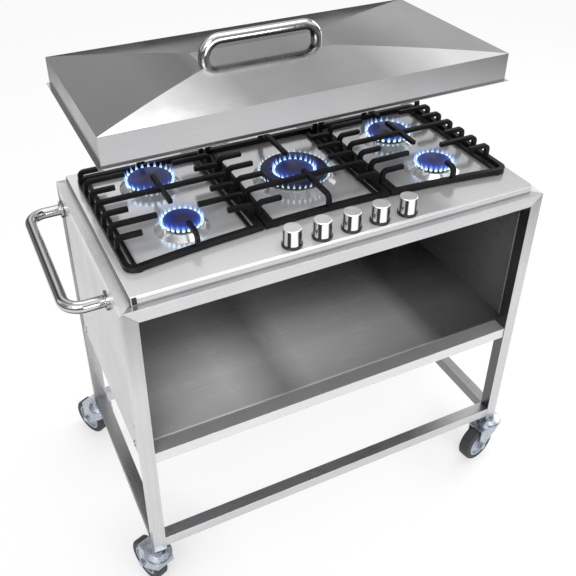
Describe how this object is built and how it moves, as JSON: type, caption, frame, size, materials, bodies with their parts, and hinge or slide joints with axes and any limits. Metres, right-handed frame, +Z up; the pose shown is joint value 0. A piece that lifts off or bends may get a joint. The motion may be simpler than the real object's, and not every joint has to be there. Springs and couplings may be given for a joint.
{
  "type": "propane stove cart",
  "caption": "Stainless steel propane stove cart on casters: gas hob with pan grates and push-turn knobs, open storage bay with shelf, side push handle and lift-off hipped lid.",
  "frame": {"origin": "on the floor under the centre of the four-legged frame", "axes": "+Z up, -Y the open front with the knobs, +X to the right seen from the front; the push handle is at -X"},
  "size_m": [1.0746, 0.6224, 1.1635],
  "materials": {
    "stainless": "brushed stainless sheet and angle",
    "polished": "polished stainless tube",
    "zinc": "zinc plated pressed steel",
    "tyre": "dark solid rubber",
    "hub": "blue-grey moulded plastic",
    "stop": "black moulded stop",
    "iron": "black enamelled cast iron",
    "burner": "cast aluminium, heat stained",
    "cap": "dark enamelled steel cap",
    "ceramic": "white ceramic with a steel tip",
    "brass": "turned brass",
    "pipe": "drawn tube",
    "knob": "chromed zinc",
    "bezel": "black ring",
    "rivet": "bright rivet and screw heads"
  },
  "bodies": {
    "cart": {"back_panel": "stainless", "bottom_rails_long": "stainless", "bottom_rails_short": "stainless", "burner_box": "stainless", "burner_caps": "cap", "burner_crowns": "burner", "burner_cups": "stainless", "caster_stems": "zinc", "front_legs": "stainless", "gas_inlet": "brass", "gas_pipes": "pipe", "handle_flanges": "polished", "handle_screws": "rivet", "hob_pan": "stainless", "hob_stop": "stop", "igniter_pins": "ceramic", "knob_bezels": "bezel", "left_panel": "stainless", "panel_rivets": "rivet", "push_handle": "polished", "rear_legs": "stainless", "right_panel": "stainless", "shelf": "stainless", "shelf_rails_long": "stainless", "shelf_rails_short": "stainless", "top_rails_long": "stainless", "top_rails_short": "stainless", "valve_bodies": "brass"},
    "fork_fl": {"caster_fl_fork": "zinc", "caster_fl_axle": "zinc"},
    "wheel_fl": {"caster_fl_tyre": "tyre", "caster_fl_hub": "hub"},
    "fork_fr": {"caster_fr_fork": "zinc", "caster_fr_axle": "zinc"},
    "wheel_fr": {"caster_fr_tyre": "tyre", "caster_fr_hub": "hub"},
    "fork_rl": {"caster_rl_fork": "zinc", "caster_rl_axle": "zinc"},
    "wheel_rl": {"caster_rl_tyre": "tyre", "caster_rl_hub": "hub"},
    "fork_rr": {"caster_rr_fork": "zinc", "caster_rr_axle": "zinc"},
    "wheel_rr": {"caster_rr_tyre": "tyre", "caster_rr_hub": "hub"},
    "valve_1": {"valve_shaft_1": "brass"},
    "knob_1": {"knob_1": "knob"},
    "valve_2": {"valve_shaft_2": "brass"},
    "knob_2": {"knob_2": "knob"},
    "valve_3": {"valve_shaft_3": "brass"},
    "knob_3": {"knob_3": "knob"},
    "valve_4": {"valve_shaft_4": "brass"},
    "knob_4": {"knob_4": "knob"},
    "valve_5": {"valve_shaft_5": "brass"},
    "knob_5": {"knob_5": "knob"},
    "grate_left": {"grate_left": "iron"},
    "grate_centre": {"grate_centre": "iron"},
    "grate_right": {"grate_right": "iron"},
    "lid": {"lid_shell": "stainless", "lid_handle": "polished"}
  },
  "joints": [
    {"name": "swivel_fl", "type": "hinge", "parent": "cart", "child": "fork_fl", "pos_m": [-0.466, -0.2485, 0.125], "axis": [0, 0, 1], "continuous": true},
    {"name": "roll_fl", "type": "hinge", "parent": "fork_fl", "child": "wheel_fl", "pos_m": [-0.47836, -0.21046, 0.05], "axis": [-0.9511, -0.309, 0], "continuous": true},
    {"name": "swivel_fr", "type": "hinge", "parent": "cart", "child": "fork_fr", "pos_m": [0.466, -0.2485, 0.125], "axis": [0, 0, 1], "continuous": true},
    {"name": "roll_fr", "type": "hinge", "parent": "fork_fr", "child": "wheel_fr", "pos_m": [0.42687, -0.25682, 0.05], "axis": [0.2079, -0.9781, 0], "continuous": true},
    {"name": "swivel_rl", "type": "hinge", "parent": "cart", "child": "fork_rl", "pos_m": [-0.466, 0.2485, 0.125], "axis": [0, 0, 1], "continuous": true},
    {"name": "roll_rl", "type": "hinge", "parent": "fork_rl", "child": "wheel_rl", "pos_m": [-0.4829, 0.28475, 0.05], "axis": [-0.9063, -0.4226, 0], "continuous": true},
    {"name": "swivel_rr", "type": "hinge", "parent": "cart", "child": "fork_rr", "pos_m": [0.466, 0.2485, 0.125], "axis": [0, 0, 1], "continuous": true},
    {"name": "roll_rr", "type": "hinge", "parent": "fork_rr", "child": "wheel_rr", "pos_m": [0.47968, 0.28609, 0.05], "axis": [-0.9397, 0.342, 0], "continuous": true},
    {"name": "valve_turn_1", "type": "hinge", "parent": "cart", "child": "valve_1", "pos_m": [-0.1203, -0.218, 0.838], "axis": [0, 0, 1], "range_deg": [-90, 105]},
    {"name": "knob_push_1", "type": "slide", "parent": "valve_1", "child": "knob_1", "axis": [0, 0, -1], "range_m": [0, 0.003], "stiffness_N_per_m": 3000, "springref_m": -0.003},
    {"name": "valve_turn_2", "type": "hinge", "parent": "cart", "child": "valve_2", "pos_m": [-0.0539, -0.218, 0.838], "axis": [0, 0, 1], "range_deg": [-90, 105]},
    {"name": "knob_push_2", "type": "slide", "parent": "valve_2", "child": "knob_2", "axis": [0, 0, -1], "range_m": [0, 0.003], "stiffness_N_per_m": 3000, "springref_m": -0.003},
    {"name": "valve_turn_3", "type": "hinge", "parent": "cart", "child": "valve_3", "pos_m": [0.0125, -0.218, 0.838], "axis": [0, 0, 1], "range_deg": [-90, 105]},
    {"name": "knob_push_3", "type": "slide", "parent": "valve_3", "child": "knob_3", "axis": [0, 0, -1], "range_m": [0, 0.003], "stiffness_N_per_m": 3000, "springref_m": -0.003},
    {"name": "valve_turn_4", "type": "hinge", "parent": "cart", "child": "valve_4", "pos_m": [0.0789, -0.218, 0.838], "axis": [0, 0, 1], "range_deg": [-90, 105]},
    {"name": "knob_push_4", "type": "slide", "parent": "valve_4", "child": "knob_4", "axis": [0, 0, -1], "range_m": [0, 0.003], "stiffness_N_per_m": 3000, "springref_m": -0.003},
    {"name": "valve_turn_5", "type": "hinge", "parent": "cart", "child": "valve_5", "pos_m": [0.1453, -0.218, 0.838], "axis": [0, 0, 1], "range_deg": [-90, 105]},
    {"name": "knob_push_5", "type": "slide", "parent": "valve_5", "child": "knob_5", "axis": [0, 0, -1], "range_m": [0, 0.003], "stiffness_N_per_m": 3000, "springref_m": -0.003},
    {"name": "grate_lift_left", "type": "slide", "parent": "cart", "child": "grate_left", "axis": [0, 0, 1], "range_m": [0, 0.12]},
    {"name": "grate_lift_centre", "type": "slide", "parent": "cart", "child": "grate_centre", "axis": [0, 0, 1], "range_m": [0, 0.12]},
    {"name": "grate_lift_right", "type": "slide", "parent": "cart", "child": "grate_right", "axis": [0, 0, 1], "range_m": [0, 0.12]},
    {"name": "lid_lift", "type": "slide", "parent": "cart", "child": "lid", "axis": [0, 0.3792, 0.9253], "range_m": [-0.20933, 0.1]}
  ]
}
